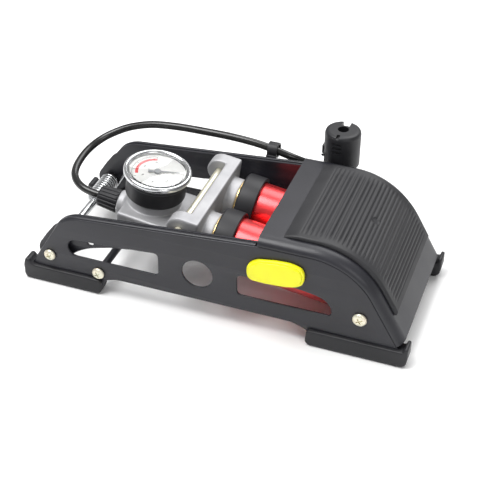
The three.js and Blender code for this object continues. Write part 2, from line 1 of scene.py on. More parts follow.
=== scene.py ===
"""Foot air pump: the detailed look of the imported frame, its studio and its camera.

Shapes are worked out in millimetres in the pump's own coordinates, with y = 0 in the middle of
the frame, and PUMP places them in the frame's metres. HEAD does the same for the tilted head.
"""
import json
from math import asin, atan2, ceil, cos, pi, radians, sin, tau

import bmesh
import bpy
from mathutils import Matrix, Vector


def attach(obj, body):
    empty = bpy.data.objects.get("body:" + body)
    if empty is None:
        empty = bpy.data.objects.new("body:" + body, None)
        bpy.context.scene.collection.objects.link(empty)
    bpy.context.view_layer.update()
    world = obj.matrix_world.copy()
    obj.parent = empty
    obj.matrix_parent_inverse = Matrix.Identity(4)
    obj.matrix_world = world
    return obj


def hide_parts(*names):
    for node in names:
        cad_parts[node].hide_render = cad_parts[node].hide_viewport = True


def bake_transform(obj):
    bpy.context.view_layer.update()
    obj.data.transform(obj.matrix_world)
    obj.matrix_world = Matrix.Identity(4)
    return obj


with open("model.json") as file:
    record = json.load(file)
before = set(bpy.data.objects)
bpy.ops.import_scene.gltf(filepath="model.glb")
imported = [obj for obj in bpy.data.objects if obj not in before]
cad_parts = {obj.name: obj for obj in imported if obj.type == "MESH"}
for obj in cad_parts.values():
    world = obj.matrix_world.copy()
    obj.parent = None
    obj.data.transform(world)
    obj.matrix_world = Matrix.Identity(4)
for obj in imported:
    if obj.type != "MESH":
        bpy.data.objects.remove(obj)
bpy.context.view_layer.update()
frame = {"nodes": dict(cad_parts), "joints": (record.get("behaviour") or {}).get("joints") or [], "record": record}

MM = 0.001

# ---------------------------------------------------------------- the frame's own places
JOINTS = {joint["name"]: joint for joint in frame["joints"]}


def pivot(name):
    x, _, z = JOINTS[name]["pos_m"]
    return x / MM, z / MM


MIDDLE_Y = JOINTS["pedal_hinge"]["pos_m"][1] / MM
HINGE = pivot("pedal_hinge")
PIVOT = pivot("rod_swing")
SPACER = (-87.3, 18.7)
HEAD_PIN = (-26.0, 66.0)
HEAD_TILT = asin(JOINTS["barrel_slide"]["axis"][2])

PUMP = Matrix.Scale(MM, 4) @ Matrix.Translation((0, MIDDLE_Y, 0))
HEAD = PUMP @ Matrix.Translation((HEAD_PIN[0], 0, HEAD_PIN[1])) @ Matrix.Rotation(HEAD_TILT, 4, "Y")

SIDE = 57.5          # half width over the side plates
SHEET = 2.0
ARM = 52.7           # outer face of the pedal arms
GAP = 0.3
BARREL_Y = 24.1
BARREL_DROP = 12.6
BARREL_R = 20.0
BORE_R = 18.2
CAP_R = 23.5
ROD_REACH = 142.97
AIR_Y = -8.0
NUT_DROP = 24.9
GAUGE_X = -34.2
HOSE_R = 3.0
CHUCK = (60.6, 72.0)
SIDES = (("near", -1), ("far", 1))

SEAM_TOP = 76.0
SEAM_R = 51.6
SEAM_X = 76.0

CREST = 1.2          # height of the rolled lip over the line of the plate's top edge
ARM_RISE = 0.8       # how far the arms' top edge stands over that line


def top_edge(x):
    return 66.3 + 0.084 * (x + 72)


# ---------------------------------------------------------------- camera
CAMERA_TURN = 20.3   # degrees round from the near side
CAMERA_DIP = 36.8    # degrees down
CAMERA_LENS = 86.8
CAMERA_PLACE = (0.24435, -0.65279, 0.55445)


def make_camera():
    turn, dip = radians(CAMERA_TURN), radians(CAMERA_DIP)
    right = Vector((cos(turn), sin(turn), 0))
    ahead = Vector((-sin(turn) * cos(dip), cos(turn) * cos(dip), -sin(dip)))
    up = right.cross(ahead)
    camera = bpy.data.objects.new("camera", bpy.data.cameras.new("camera"))
    camera.data.sensor_width = 36
    camera.data.lens = CAMERA_LENS
    across, along, above = CAMERA_PLACE
    place = Vector((across, along + MIDDLE_Y * MM, above))
    turned = Matrix((right, up, -ahead)).transposed().to_4x4()
    camera.matrix_world = Matrix.Translation(place) @ turned
    bpy.context.collection.objects.link(camera)
    bpy.context.scene.camera = camera


make_camera()


# ---------------------------------------------------------------- materials
class Nodes:
    """A material's node tree, with short calls for the nodes used here."""

    def __init__(self, name):
        self.material = bpy.data.materials.new(name)
        self.material.use_nodes = True
        self.tree = self.material.node_tree
        self.shader = self.tree.nodes["Principled BSDF"]
        coordinates = self.tree.nodes.new("ShaderNodeTexCoord")
        self.place = coordinates.outputs["Object"]

    def set(self, **values):
        for name, value in values.items():
            self.shader.inputs[name.replace("_", " ")].default_value = value

    def noise(self, scale, detail=3.0, stretch=(1, 1, 1), roughness=0.5):
        mapping = self.tree.nodes.new("ShaderNodeMapping")
        mapping.inputs["Scale"].default_value = stretch
        self.tree.links.new(self.place, mapping.inputs["Vector"])
        noise = self.tree.nodes.new("ShaderNodeTexNoise")
        noise.inputs["Scale"].default_value = scale
        noise.inputs["Detail"].default_value = detail
        noise.inputs["Roughness"].default_value = roughness
        self.tree.links.new(mapping.outputs[0], noise.inputs["Vector"])
        return noise.outputs["Fac"]

    def ramp(self, value, stops):
        ramp = self.tree.nodes.new("ShaderNodeValToRGB")
        elements = ramp.color_ramp.elements
        for element, (position, colour) in zip(elements, (stops[0], stops[-1])):
            element.position, element.color = position, (*colour, 1)
        for position, colour in stops[1:-1]:
            elements.new(position).color = (*colour, 1)
        self.tree.links.new(value, ramp.inputs["Fac"])
        return ramp.outputs["Color"]

    def range(self, value, low, high, start=0.0, end=1.0):
        node = self.tree.nodes.new("ShaderNodeMapRange")
        for name, number in (("From Min", start), ("From Max", end), ("To Min", low), ("To Max", high)):
            node.inputs[name].default_value = number
        self.tree.links.new(value, node.inputs["Value"])
        return node.outputs["Result"]

    def bump(self, *layers):
        """Layers of (height, strength, distance in mm), one on the other."""
        normal = None
        for height, strength, distance in layers:
            bump = self.tree.nodes.new("ShaderNodeBump")
            bump.inputs["Strength"].default_value = strength
            bump.inputs["Distance"].default_value = distance * MM
            self.tree.links.new(height, bump.inputs["Height"])
            if normal is not None:
                self.tree.links.new(normal, bump.inputs["Normal"])
            normal = bump.outputs["Normal"]
        self.tree.links.new(normal, self.shader.inputs["Normal"])

    def link(self, output, name):
        self.tree.links.new(output, self.shader.inputs[name])


def grey(value, blue=0.0):
    return (value, value, value + blue)


def coated_steel():
    """Satin black powder coat: fine orange peel and a faint unevenness."""
    m = Nodes("black_powder_coat")
    broad, fine = m.noise(35, 4), m.noise(1500, 2)
    m.link(m.ramp(broad, [(0.3, grey(0.012, 0.004)), (0.7, grey(0.019, 0.006))]), "Base Color")
    m.link(m.range(broad, 0.36, 0.46, 0.3, 0.7), "Roughness")
    m.set(Specular_IOR_Level=0.42, Coat_Weight=0.12, Coat_Roughness=0.25)
    m.bump((m.noise(420, 2), 0.14, 0.05), (fine, 0.10, 0.03))
    return m.material


def moulded_plastic():
    """Matt black moulding with a fine spark-eroded grain."""
    m = Nodes("black_moulding")
    broad, grain = m.noise(60, 4), m.noise(2600, 3)
    m.link(m.ramp(broad, [(0.3, grey(0.011, 0.002)), (0.75, grey(0.019, 0.003))]), "Base Color")
    m.link(m.range(broad, 0.40, 0.52, 0.3, 0.7), "Roughness")
    m.set(Specular_IOR_Level=0.38)
    m.bump((grain, 0.25, 0.05))
    return m.material


def tread_rubber():
    """Dull black rubber, dusty on its ribs."""
    m = Nodes("tread_rubber")
    broad, grain = m.noise(45, 5), m.noise(3000, 3)
    m.link(m.ramp(broad, [(0.25, grey(0.013, 0.002)), (0.8, grey(0.024, 0.003))]), "Base Color")
    m.link(m.range(broad, 0.46, 0.58, 0.3, 0.7), "Roughness")
    m.set(Specular_IOR_Level=0.42)
    m.bump((grain, 0.3, 0.04))
    return m.material


def hose_rubber():
    """Glossy black extruded hose with faint drawing lines."""
    m = Nodes("hose_rubber")
    broad, grain = m.noise(90, 3), m.noise(1400, 2)
    m.link(m.ramp(broad, [(0.3, grey(0.01)), (0.7, grey(0.018))]), "Base Color")
    m.link(m.range(broad, 0.16, 0.27, 0.3, 0.7), "Roughness")
    m.bump((broad, 0.12, 0.15), (grain, 0.06, 0.03))
    return m.material


def bright_steel():
    """Bright plated steel with fine turning marks."""
    m = Nodes("bright_steel")
    lines = m.noise(500, 2, stretch=(1, 9, 1))
    m.link(m.ramp(m.noise(70, 4), [(0.3, (0.55, 0.56, 0.57)), (0.7, (0.74, 0.75, 0.76))]), "Base Color")
    m.link(m.range(lines, 0.12, 0.26, 0.3, 0.7), "Roughness")
    m.set(Metallic=1.0)
    m.bump((lines, 0.08, 0.03))
    return m.material


def yellow_zinc():
    """Yellow-passivated zinc: pale gold with a greenish and pinkish drift."""
    m = Nodes("yellow_zinc")
    drift = m.noise(130, 4)
    m.link(m.ramp(drift, [(0.3, (0.74, 0.74, 0.62)), (0.52, (0.82, 0.78, 0.62)), (0.72, (0.80, 0.71, 0.58))]),
           "Base Color")
    m.link(m.range(drift, 0.36, 0.48, 0.3, 0.7), "Roughness")
    m.set(Metallic=0.75)
    m.bump((m.noise(900, 2), 0.1, 0.03))
    return m.material


def cast_aluminium():
    """Die-cast aluminium: light grey skin, fine blasted grain and faint flow marks."""
    m = Nodes("cast_aluminium")
    flow, grain = m.noise(55, 5, stretch=(1, 1, 2.5)), m.noise(1700, 4)
    m.link(m.ramp(flow, [(0.28, (0.36, 0.36, 0.375)), (0.72, (0.47, 0.47, 0.48))]), "Base Color")
    m.link(m.range(grain, 0.46, 0.60, 0.3, 0.7), "Roughness")
    m.set(Metallic=0.45)
    m.bump((flow, 0.15, 0.25), (grain, 0.45, 0.07))
    return m.material


def red_anodised():
    """Clear red anodising on drawn tube, with fine lengthwise drawing lines."""
    m = Nodes("red_anodised")
    lines = m.noise(900, 3, stretch=(0.06, 1, 1))
    m.link(m.ramp(lines, [(0.3, (0.74, 0.030, 0.036)), (0.7, (0.90, 0.050, 0.055))]), "Base Color")
    m.link(m.range(lines, 0.26, 0.36, 0.3, 0.7), "Roughness")
    m.set(Metallic=0.8, Coat_Weight=0.6, Coat_Roughness=0.22)
    m.bump((lines, 0.05, 0.04))
    return m.material


def yellow_moulding():
    """Bright yellow moulded plastic with a slight gloss."""
    m = Nodes("yellow_moulding")
    broad, grain = m.noise(50, 4), m.noise(2000, 3)
    m.link(m.ramp(broad, [(0.3, (0.84, 0.80, 0.006)), (0.7, (0.92, 0.90, 0.012))]), "Base Color")
    m.link(m.range(broad, 0.28, 0.38, 0.3, 0.7), "Roughness")
    m.set(Subsurface_Weight=0.08, Subsurface_Scale=0.002)
    m.bump((grain, 0.12, 0.03))
    return m.material


def turned_brass():
    m = Nodes("turned_brass")
    lines = m.noise(700, 3, stretch=(4, 1, 1))
    m.link(m.ramp(lines, [(0.3, (0.62, 0.42, 0.16)), (0.7, (0.80, 0.60, 0.28))]), "Base Color")
    m.link(m.range(lines, 0.18, 0.32, 0.3, 0.7), "Roughness")
    m.set(Metallic=1.0)
    m.bump((lines, 0.1, 0.03))
    return m.material


def printed(name, colour, spread=0.06):
    """Matt printed card or ink of one colour, with a faint mottle."""
    m = Nodes(name)
    darker = tuple(c * (1 - spread) for c in colour)
    m.link(m.ramp(m.noise(300, 3), [(0.3, darker), (0.7, colour)]), "Base Color")
    m.link(m.range(m.noise(900, 2), 0.42, 0.55, 0.3, 0.7), "Roughness")
    return m.material


def clear_plastic():
    m = Nodes("clear_lens")
    m.set(Base_Color=(1, 1, 1, 1), Transmission_Weight=1.0, IOR=1.45)
    m.link(m.range(m.noise(120, 3), 0.0, 0.03, 0.3, 0.7), "Roughness")
    return m.material


FINISH = {
    "black_paint": coated_steel(),
    "black_plastic": moulded_plastic(),
    "black_rubber": tread_rubber(),
    "hose": hose_rubber(),
    "bright_steel": bright_steel(),
    "yellow_zinc": yellow_zinc(),
    "cast_aluminium": cast_aluminium(),
    "red_anodised": red_anodised(),
    "yellow_plastic": yellow_moulding(),
    "brass": turned_brass(),
    "white_card": printed("dial_white", (0.86, 0.86, 0.84)),
    "dial_black": printed("dial_black", (0.02, 0.02, 0.022)),
    "dial_red": printed("dial_red", (0.72, 0.03, 0.03)),
    "dial_grey": printed("dial_grey", (0.33, 0.34, 0.35)),
    "clear_lens": clear_plastic(),
}

for subpart in frame["record"]["subparts"]:
    node = frame["nodes"][subpart["node"]]
    node.data.materials.clear()
    node.data.materials.append(FINISH[subpart["material_slot"]])


# ---------------------------------------------------------------- mesh helpers
def piece(name, mesh, body, finish, stands_for=(), place=PUMP, sharp=32):
    """A mesh in millimetres becomes a piece that rides on a body and stands for CAD nodes."""
    mesh.transform(place)
    mesh.shade_smooth()
    mesh.set_sharp_from_angle(angle=radians(sharp))
    obj = bpy.data.objects.new(name, mesh)
    bpy.context.collection.objects.link(obj)
    mesh.materials.clear()
    mesh.materials.append(FINISH[finish])
    if stands_for:
        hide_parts(*stands_for)
    if body:
        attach(obj, body)
    return obj


def from_bmesh(bm, clean=1e-4):
    bmesh.ops.remove_doubles(bm, verts=bm.verts, dist=clean)
    bmesh.ops.recalc_face_normals(bm, faces=bm.faces)
    mesh = bpy.data.meshes.new("mesh")
    bm.to_mesh(mesh)
    bm.free()
    return mesh


def joined(*meshes):
    bm = bmesh.new()
    for mesh in meshes:
        bm.from_mesh(mesh)
    return from_bmesh(bm, clean=1e-6)


def rounded(points, radius, steps=4, closed=False):
    """Each corner of an outline is turned into a small arc."""
    count = len(points)
    result = []
    for i, corner in enumerate(points):
        if not closed and i in (0, count - 1):
            result.append(corner)
            continue
        here = Vector(corner)
        before, after = Vector(points[i - 1]) - here, Vector(points[(i + 1) % count]) - here
        if before.length < 1e-6 or after.length < 1e-6 or before.angle(after) > radians(172):
            result.append(corner)
            continue
        cut = min(radius, before.length * 0.48, after.length * 0.48)
        start, end = here + before.normalized() * cut, here + after.normalized() * cut
        for step in range(steps + 1):
            t = step / steps
            point = start * (1 - t) ** 2 + here * 2 * t * (1 - t) + end * t ** 2
            result.append(tuple(point))
    return result


def arc(x, z, radius, start, end, steps=24):
    return [(x + radius * cos(radians(start + (end - start) * i / steps)),
             z + radius * sin(radians(start + (end - start) * i / steps))) for i in range(steps + 1)]


def disc(x, z, radius, steps=64):
    return arc(x, z, radius, 0, 360 * (steps - 1) / steps, steps - 1)


AXES = {
    "X": Matrix(((0, 0, 1), (1, 0, 0), (0, 1, 0))).to_4x4(),
    "Y": Matrix(((0, 1, 0), (0, 0, 1), (1, 0, 0))).to_4x4(),
    "Z": Matrix.Identity(4),
}


def lathe(profile, axis="Z", at=(0, 0, 0), corner=0.5, closed=False, sides=96, start=0.0, end=tau):
    """[radius, distance along the axis] pairs turned about an axis."""
    outline = rounded(profile, corner, closed=closed)
    whole = end - start > tau - 1e-6
    turns = [start + (end - start) * i / sides for i in range(sides if whole else sides + 1)]
    bm = bmesh.new()
    rings = [[bm.verts.new((r * cos(a), r * sin(a), h)) for r, h in outline] for a in turns]
    pairs = list(zip(rings, rings[1:] + rings[:1] if whole else rings[1:]))
    for ring, following in pairs:
        for i in range(len(outline) if closed else len(outline) - 1):
            j = (i + 1) % len(outline)
            bm.faces.new((ring[i], following[i], following[j], ring[j]))
    if not whole:
        bm.faces.new(rings[0])
        bm.faces.new(reversed(rings[-1]))
    mesh = from_bmesh(bm)
    mesh.transform(Matrix.Translation(at) @ AXES[axis])
    return mesh


def pressed(outline, y0, y1, holes=(), edge=0.35, corner=0.0):
    """A flat (x, z) outline given thickness along Y, with all its edges rounded."""
    curve = bpy.data.curves.new("outline", "CURVE")
    curve.dimensions = "2D"
    curve.fill_mode = "BOTH"
    curve.bevel_depth = edge
    curve.bevel_resolution = 2
    curve.offset = -edge
    curve.extrude = (y1 - y0) / 2 - edge
    for loop in (outline, *holes):
        points = rounded(loop, corner, closed=True) if corner else loop
        spline = curve.splines.new("POLY")
        spline.points.add(len(points) - 1)
        for target, (x, z) in zip(spline.points, points):
            target.co = (x, z, 0, 1)
        spline.use_cyclic_u = True
    holder = bpy.data.objects.new("outline", curve)
    mesh = bpy.data.meshes.new_from_object(holder)
    bpy.data.objects.remove(holder)
    bpy.data.curves.remove(curve)
    mesh.transform(Matrix.Translation((0, (y0 + y1) / 2, 0)) @ Matrix.Rotation(pi / 2, 4, "X"))
    bm = bmesh.new()
    bm.from_mesh(mesh)
    bpy.data.meshes.remove(mesh)
    return from_bmesh(bm)


def block(x0, x1, y0, y1, z0, z1, edge=0.6):
    """A box with rounded edges."""
    bm = bmesh.new()
    bmesh.ops.create_cube(bm, size=1)
    size = Matrix.Diagonal((x1 - x0, y1 - y0, z1 - z0, 1))
    bm.transform(Matrix.Translation(((x0 + x1) / 2, (y0 + y1) / 2, (z0 + z1) / 2)) @ size)
    if edge:
        bmesh.ops.bevel(bm, geom=bm.edges[:], offset=edge, segments=3, affect="EDGES", profile=0.5)
    return from_bmesh(bm)


def rod(axis, across, radius, low, high, corner=0.5, sides=64):
    """A round bar along X, Y or Z; across holds its two other coordinates in order."""
    at = {"X": (0, *across), "Y": (across[0], 0, across[1]), "Z": (*across, 0)}[axis]
    return lathe([(0, low), (radius, low), (radius, high), (0, high)], axis, at, corner, sides=sides)


def carved(body, cutters, operation="DIFFERENCE"):
    """Cuts or joins meshes with exact booleans."""
    target = bpy.data.objects.new("target", body)
    bpy.context.collection.objects.link(target)
    tools = []
    for mesh in cutters:
        tool = bpy.data.objects.new("tool", mesh)
        bpy.context.collection.objects.link(tool)
        tools.append(tool)
        modifier = target.modifiers.new("cut", "BOOLEAN")
        modifier.operation = operation
        modifier.solver = "EXACT"
        modifier.object = tool
    bpy.context.view_layer.update()
    graph = bpy.context.evaluated_depsgraph_get()
    result = bpy.data.meshes.new_from_object(target.evaluated_get(graph))
    for obj in (*tools, target):
        bpy.data.objects.remove(obj)
    return result


def softened(mesh, voxel, rounds=6):
    """The mesh rebuilt from small cells and smoothed, as a casting's edges are."""
    obj = bpy.data.objects.new("casting", mesh)
    bpy.context.collection.objects.link(obj)
    remesh = obj.modifiers.new("cells", "REMESH")
    remesh.mode = "VOXEL"
    remesh.voxel_size = voxel
    smooth = obj.modifiers.new("smooth", "SMOOTH")
    smooth.factor = 0.5
    smooth.iterations = rounds
    graph = bpy.context.evaluated_depsgraph_get()
    result = bpy.data.meshes.new_from_object(obj.evaluated_get(graph))
    bpy.data.objects.remove(obj)
    return result


def smooth_path(points, step):
    """A centripetal Catmull-Rom line through the points, about one point every step."""
    points = [Vector(p) for p in points]
    ends = [points[0] * 2 - points[1], *points, points[-1] * 2 - points[-2]]
    line = []
    for p0, p1, p2, p3 in zip(ends, ends[1:], ends[2:], ends[3:]):
        knots = [0.0]
        for a, b in ((p0, p1), (p1, p2), (p2, p3)):
            knots.append(knots[-1] + (b - a).length ** 0.5)
        t0, t1, t2, t3 = knots
        for i in range(max(1, ceil((p2 - p1).length / step))):
            t = t1 + (t2 - t1) * i / max(1, ceil((p2 - p1).length / step))
            a1 = p0 * ((t1 - t) / (t1 - t0)) + p1 * ((t - t0) / (t1 - t0))
            a2 = p1 * ((t2 - t) / (t2 - t1)) + p2 * ((t - t1) / (t2 - t1))
            a3 = p2 * ((t3 - t) / (t3 - t2)) + p3 * ((t - t2) / (t3 - t2))
            b1 = a1 * ((t2 - t) / (t2 - t0)) + a2 * ((t - t0) / (t2 - t0))
            b2 = a2 * ((t3 - t) / (t3 - t1)) + a3 * ((t - t1) / (t3 - t1))
            line.append(b1 * ((t2 - t) / (t2 - t1)) + b2 * ((t - t1) / (t2 - t1)))
    return [*line, points[-1]]


def tube(line, radius, sides=24):
    """A round tube along a line of points, closed at both ends."""
    bm = bmesh.new()
    ahead = (line[1] - line[0]).normalized()
    side = ahead.orthogonal().normalized()
    rings = []
    for i, point in enumerate(line):
        following = line[min(i + 1, len(line) - 1)] - line[max(i - 1, 0)]
        turned = ahead.rotation_difference(following.normalized())
        ahead, side = following.normalized(), (turned @ side).normalized()
        other = ahead.cross(side)
        turns = [tau * k / sides for k in range(sides)]
        rings.append([bm.verts.new(point + radius * (cos(t) * side + sin(t) * other)) for t in turns])
    for ring, after in zip(rings, rings[1:]):
        for k in range(sides):
            bm.faces.new((ring[k], ring[(k + 1) % sides], after[(k + 1) % sides], after[k]))
    bm.faces.new(reversed(rings[0]))
    bm.faces.new(rings[-1])
    return from_bmesh(bm)


# ---------------------------------------------------------------- hose
# The route is the CAD model's own, nut first; JOIN is where the two stretches of hose meet.
HOSE_ROUTE = [
    (-106.8, -8, 52.5), (-113.4, -8, 53.45), (-121.8, -6.5, 54.6), (-129.1, -2.3, 55.8),
    (-134.6, 4.2, 57), (-137.6, 12.2, 58.2), (-138.8, 21, 59.2), (-138.6, 31, 60.6),
    (-136.2, 41, 62.6), (-131, 50, 65.4), (-123, 56.6, 68.8), (-112.9, 61, 72.6), (-96, 64, 76.9),
    (-75, 64.8, 79.2), (-50, 65, 79.8), (-24, 65, 79.6), (-4, 65.2, 77.8), (10, 65.4, 75),
    (22, 66.8, 71), (31.4, 71.6, 65.4), (38.4, 80, 57.6), (42.8, 90.4, 47.6), (46.4, 101, 36.4),
    (51.4, 111.4, 25.4), (59, 120, 15.8), (70, 126.4, 8.4), (84, 128.4, 4), (98, 125, 3.3),
    (108.6, 116, 3.3), (113.8, 103, 3.3), (112.8, 89, 3.3), (105, 77.6, 3.3), (92, 71.4, 3.5),
    (78.6, 71, 6.6), (68, 71.8, 14.2), (62.4, 72, 24), (60.6, 72, 34), (60.6, 72, 40),
]
JOIN = 13


def make_hose():
    line = smooth_path(HOSE_ROUTE, 1.5)
    join = Vector(HOSE_ROUTE[JOIN])
    meeting = min(range(len(line)), key=lambda i: (line[i] - join).length)
    # The line is split into two stretches where they meet; each is made as a fixed tube on no body.
    stretches = (
        ("hose_nut_end", line[meeting::-1], "head", (-120, 56, 60), (-120, -4, 60), "object"),
        ("hose_chuck_end", line[meeting:], "base", (-70, 65, 79), (0, 65, 79), "connector"),
    )
    made = []
    for name, stretch, body, start, end, far_end in stretches:
        hose = piece(name, tube(stretch, HOSE_R), None, "hose", ["hose"])
        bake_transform(hose)
        made.append((hose, stretch, far_end))
    return made


def declare_hose(stretches, chuck):
    for hose, stretch, far_end in stretches:
        if far_end == "object":
            stretch = stretch[::-1]


HOSE = make_hose()


# ---------------------------------------------------------------- outlines
def seam_line(offset, start_x, last=60, steps=48):
    return [(start_x, SEAM_TOP + offset),
            *arc(SEAM_X, SEAM_TOP - SEAM_R, SEAM_R + offset, 90, 90 - last, steps)]


def corner(offset, steps=24):
    """The round top corner at the hinge end, offset outwards."""
    return arc(-98.46, 37.98, 26 + offset, 148.5, 94.8, steps)


SLOPE_FOOT = (-124.9, 44.6)
LIP_LINE = [SLOPE_FOOT, *corner(0), *[(x, top_edge(x)) for x in range(-90, 37, 9)], (36, top_edge(36))]


def plate_outline():
    left = rounded([(-143, 15), SLOPE_FOOT, *corner(0), (37, top_edge(37)), (41, SEAM_TOP)], 6, 8)[:-1]
    return [(-143, 4), *left, *seam_line(0, 41), (142, 13.3), (146, 4),
            *rounded([(77, 4), (76, 11), (70, 13.5), (64, 15.5), (-74, 15.5), (-82, 12.5),
                      (-84, 9), (-86, 4)], 4, 6)]


def tapered_slot():
    tail = rounded([(-104, 29.4), (-38.4, 29.4), (-38.2, 49.2), (-104, 44.2)], 4, 8)[1:-1]
    return [*arc(-104, 36.8, 7.4, 90, 270), *tail]


def long_slot():
    return rounded([(22.6, 29.2), (92.6, 29.2), (93.2, 34.6), (89, 41.6), (82, 44.4), (68, 46.8),
                    (22.8, 46.8)], 4, 8, closed=True)


def latch_window():
    return rounded([(44, 54), (63, 54), (63, 62), (44, 62)], 1, 4, closed=True)


def carry(section, stations, rise=0.0):
    """A closed (y, offset) section carried along (x, z, nx, nz) stations, square to the line.

    Over the first rise mm the section's outward part grows from nothing.
    """
    bm = bmesh.new()
    rings = []
    run, before = 0.0, stations[0]
    for x, z, nx, nz in stations:
        run += ((x - before[0]) ** 2 + (z - before[1]) ** 2) ** 0.5
        before = (x, z)
        share = min(1.0, run / rise) if rise else 1.0
        offsets = [(y, o * share if o > 0 else o) for y, o in section]
        rings.append([bm.verts.new((x + nx * o, y, z + nz * o)) for y, o in offsets])
    for ring, after in zip(rings, rings[1:]):
        for i in range(len(section)):
            j = (i + 1) % len(section)
            bm.faces.new((ring[i], ring[j], after[j], after[i]))
    bm.faces.new(rings[0])
    bm.faces.new(reversed(rings[-1]))
    return from_bmesh(bm)


def stations_along(line):
    stations = []
    for i, (x, z) in enumerate(line):
        before, after = Vector(line[max(i - 1, 0)]), Vector(line[min(i + 1, len(line) - 1)])
        ahead = (after - before).normalized()
        stations.append((x, z, -ahead.y, ahead.x))
    return stations


def seam_stations(start_x, slope, steps=60):
    """The seam from start_x, over the round, to slope mm down the straight, with its run in mm."""
    stations = [(start_x + (SEAM_X - start_x) * i / 12, SEAM_TOP, 0, 1) for i in range(12)]
    for i in range(steps + 1):
        angle = radians(90 - 60 * i / steps)
        nx, nz = cos(angle), sin(angle)
        stations.append((SEAM_X + SEAM_R * nx, SEAM_TOP - SEAM_R + SEAM_R * nz, nx, nz))
    x, z, nx, nz = stations[-1]
    stations += [(x + slope * i / 12 * nz, z - slope * i / 12 * nx, nx, nz) for i in range(1, 13)]
    return stations


def span(sign, low, high):
    return (low, high) if sign > 0 else (-high, -low)


# ---------------------------------------------------------------- base frame
def make_side_plate(side, sign):
    holes = [tapered_slot(), long_slot(), disc(-7.8, 39, 11.7)]
    holes += [disc(x, z, 2.4, 32) for x, z in (HINGE, SPACER, PIVOT)]
    if sign < 0:
        holes.append(latch_window())
    plate = pressed(plate_outline(), *span(sign, SIDE - SHEET, SIDE), holes, edge=0.7)
    section = rounded([(SIDE - 4, -SHEET), (SIDE - 0.8, -SHEET), (SIDE - 0.8, 0.3), (SIDE - 1.8, CREST),
                       (SIDE - 4, CREST)], 0.9, 5, closed=True)
    lip = carry([(sign * y, offset) for y, offset in section], stations_along(LIP_LINE), 18)
    piece(f"{side}_plate", joined(plate, lip), "base", "black_paint", [f"{side}_side_plate"])


HINGE_SHOE = [(-148, 0), (-88, 0), (-85.5, 3), (-84.7, 11.5), (-86, 13), (-96, 13.4), (-140, 13.4),
              (-143.5, 15.2), (-145.5, 18), (-148.5, 17.6), (-150, 12), (-150, 2.5)]
PEDAL_SHOE = [(78, 0), (146, 0), (149, 2.5), (150, 8), (150, 17), (147.5, 17.6), (146.4, 13.6),
              (78, 13.6), (76, 12.5), (75.2, 2.5)]


def make_shoe(name, sign, outline):
    body = pressed(outline, *span(sign, 48.5, 60.5), edge=1.3, corner=1.6)
    piece(name, body, "base", "black_plastic", [name.removesuffix("_moulding")])


def make_screw(name, sign, place, radius, node):
    """A round head with a cross recess on a short threaded shank."""
    x, z = place
    head = lathe([(0, -6), (1.6, -6), (1.6, 0), (radius, 0), (radius, 1.1), (radius * 0.82, 2.2),
                  (radius * 0.45, 2.8), (0, 2.9)], "Z", corner=0.6, sides=72)
    arms = []
    for turn in (0, pi / 2):
        arm = block(-radius * 0.5, radius * 0.5, -0.55, 0.55, 1.5, 4, edge=0.2)
        arm.transform(Matrix.Rotation(turn + 0.5, 4, "Z"))
        arms.append(arm)
    mesh = carved(head, arms)
    mesh.transform(Matrix.Translation((x, sign * (SIDE + GAP), z)) @ Matrix.Rotation(-sign * pi / 2, 4, "X"))
    piece(name, mesh, "base", "yellow_zinc", [node])


def make_frame():
    for side, sign in SIDES:
        make_side_plate(side, sign)
        make_shoe(f"{side}_hinge_end_shoe_moulding", sign, HINGE_SHOE)
        make_shoe(f"{side}_pedal_end_shoe_moulding", sign, PEDAL_SHOE)
        for name, place, radius in (("hinge", HINGE, 4.6), ("spacer", SPACER, 4.8), ("pivot", PIVOT, 5.2)):
            make_screw(f"{side}_{name}_screw_head", sign, place, radius, f"{side}_{name}_screw")
        low, high = span(sign, BARREL_Y + 6 + GAP, SIDE - SHEET - 2 * GAP)
        make_sleeve(f"{side}_pivot_sleeve", low, high)
    make_sleeve("middle_pivot_sleeve", -BARREL_Y + 6 + GAP, BARREL_Y - 6 - GAP)
    end = SIDE - SHEET - GAP
    for node, place, radius, finish in (
            ("hinge_axle", HINGE, 3.2, "bright_steel"), ("spacer_rod", SPACER, 3, "black_paint"),
            ("rear_pivot_rod", PIVOT, 4, "bright_steel")):
        piece(f"{node}_bar", rod("Y", place, radius, -end, end), "base", finish, [node])


def make_sleeve(node, low, high):
    profile = [(4 + GAP, low), (6, low), (6, high), (4 + GAP, high)]
    mesh = lathe(profile, "Y", (PIVOT[0], 0, PIVOT[1]), 0.4, closed=True, sides=64)
    piece(f"{node}_tube", mesh, "base", "black_plastic", [node])


def make_spring():
    """A coil round the hinge axle with one leg on the spacer and one on the far arm."""
    start, sweep, radius, base_leg, pedal_leg, y0, y1 = radians(77), radians(3493), 6.8, 44, 22, 20.5, 48
    coil = radius * sweep
    count = 800
    line = []
    for i in range(count + 1):
        along = i / count * (coil + base_leg + pedal_leg) - base_leg
        part = min(max(along / coil, 0), 1)
        angle = start + part * sweep
        over = along if along < 0 else max(0.0, along - coil)
        line.append(Vector((HINGE[0] + radius * cos(angle) - over * sin(angle), y0 + (y1 - y0) * part,
                            HINGE[1] + radius * sin(angle) + over * cos(angle))))
    piece("return_spring_coil", tube(line, 1.0, 14), "base", "bright_steel", ["return_spring"])


# ---------------------------------------------------------------- pedal
TONGUE = {"x0": 44, "x1": 50, "z0": 56.6, "z1": 59.2}
LATCH_TRAVEL = JOINTS["latch_slide"]["range_m"][1] / MM


